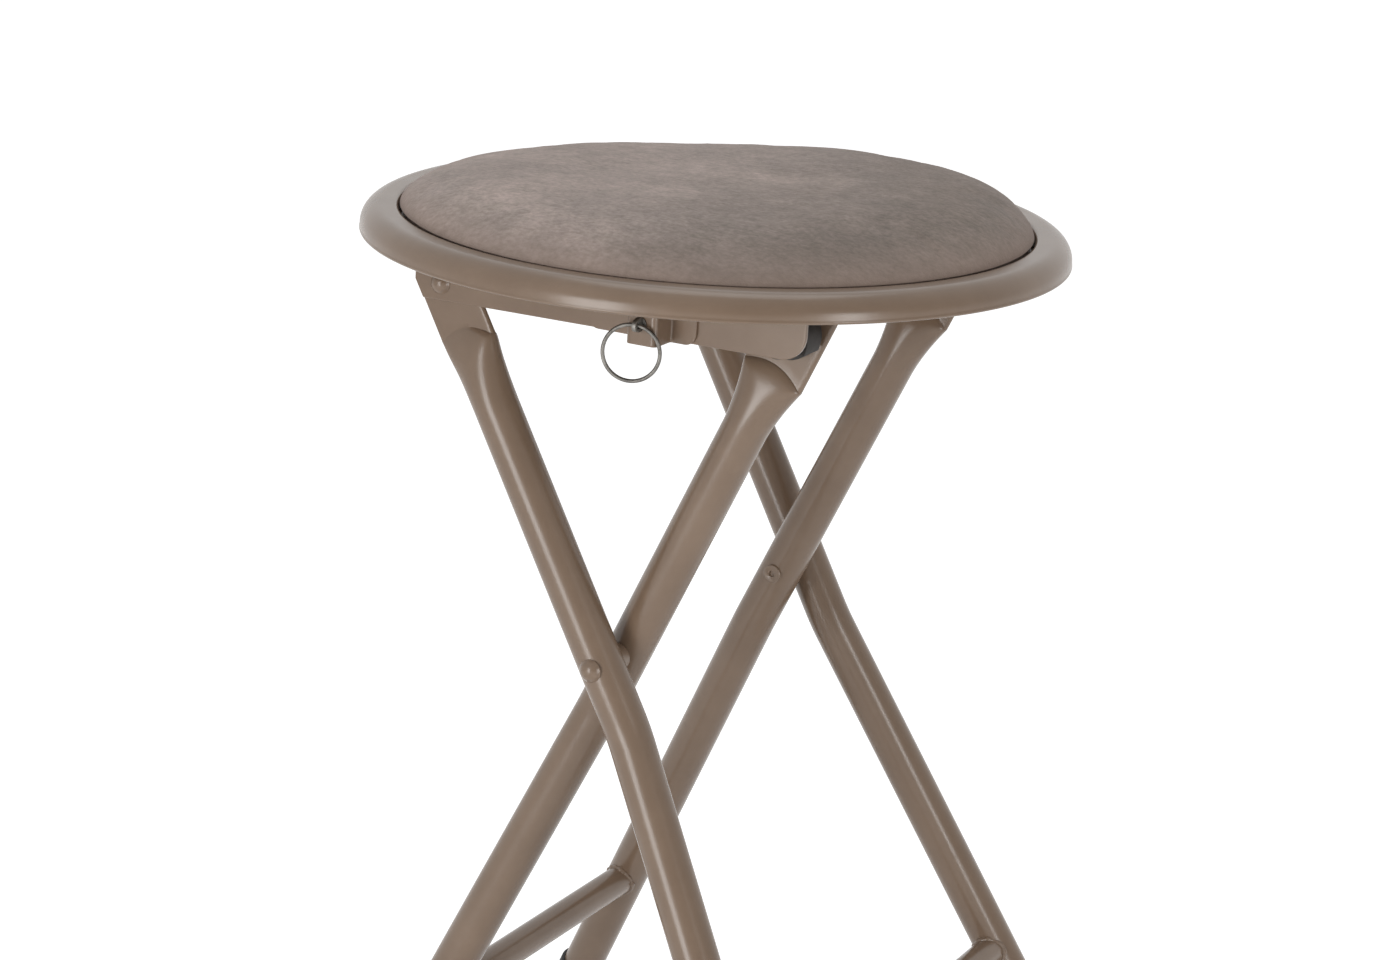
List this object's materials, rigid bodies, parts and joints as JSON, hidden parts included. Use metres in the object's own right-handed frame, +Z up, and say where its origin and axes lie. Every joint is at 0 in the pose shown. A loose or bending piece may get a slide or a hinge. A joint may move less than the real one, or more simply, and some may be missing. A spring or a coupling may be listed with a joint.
{
  "type": "folding stool",
  "caption": "Round padded seat in a pressed steel pan that flips up on two crossed tube frames, held open by a spring plunger with a pull ring.",
  "frame": {"origin": "on the floor under the seat's centre", "axes": "+Z up; X along the two rails under the seat, with the seat pivots at -X; the latch is on the -Y side"},
  "size_m": [0.3111, 0.3008, 0.448],
  "materials": {
    "powder_coat": "satin powder coat, grey-brown",
    "cover": "short-pile suede, grey-brown",
    "plywood": "bare",
    "zinc_steel": "bright zinc",
    "ring_steel": "dull, darkened",
    "hook_steel": "blackened",
    "nylon": "matt, nearly black",
    "black_rubber": "matt"
  },
  "bodies": {
    "outer_frame": {"near_outer_leg": "powder_coat", "far_outer_leg": "powder_coat", "outer_crossbar": "powder_coat", "near_outer_foot": "black_rubber", "far_outer_foot": "black_rubber", "crossing_rivets": "powder_coat", "pivot_spacers": "powder_coat"},
    "seat": {"seat_pan": "powder_coat", "pad_board": "plywood", "cushion": "cover", "cover_hem": "cover", "hem_staples": "zinc_steel", "board_screws": "zinc_steel", "near_rail": "powder_coat", "far_rail": "powder_coat", "near_hook": "hook_steel", "far_hook": "hook_steel", "seat_rivets": "powder_coat", "hinge_washers": "nylon", "latch_bracket": "powder_coat", "latch_rivets": "zinc_steel", "plunger_spring": "zinc_steel"},
    "inner_frame": {"near_inner_leg": "powder_coat", "far_inner_leg": "powder_coat", "inner_crossbar": "powder_coat", "near_inner_foot": "black_rubber", "far_inner_foot": "black_rubber", "top_pins": "zinc_steel", "top_bushes": "nylon"},
    "lock_link": {"lock_link": "zinc_steel"},
    "plunger": {"plunger": "ring_steel"},
    "pull_ring": {"pull_ring": "ring_steel"}
  },
  "joints": [
    {"name": "seat_flip", "type": "hinge", "parent": "outer_frame", "child": "seat", "pos_m": [-0.0746, 0, 0.4065], "axis": [0, -1, 0], "range_deg": [0, 118]},
    {"name": "inner_fold", "type": "hinge", "parent": "outer_frame", "child": "inner_frame", "pos_m": [0.007, 0, 0.2576], "axis": [0, -1, 0], "range_deg": [0, 46.5]},
    {"name": "lock_link_swing", "type": "hinge", "parent": "inner_frame", "child": "lock_link", "pos_m": [0.0748, 0, 0.4065], "axis": [0, -1, 0], "range_deg": [0, 78.3]},
    {"name": "plunger_slide", "type": "slide", "parent": "seat", "child": "plunger", "axis": [0, -1, 0], "range_m": [0, 0.0045], "stiffness_N_per_m": 400, "springref_m": -0.002, "deforming": ["plunger_spring"]},
    {"name": "ring_swing", "type": "hinge", "parent": "plunger", "child": "pull_ring", "pos_m": [0.02735, -0.1152, 0.4088], "axis": [-1, 0, 0], "range_deg": [0, 100]}
  ],
  "couplings": [
    {"joint": "inner_fold", "follows": "seat_flip", "ratio": 0.39407},
    {"joint": "lock_link_swing", "follows": "seat_flip", "ratio": 0.66356}
  ]
}
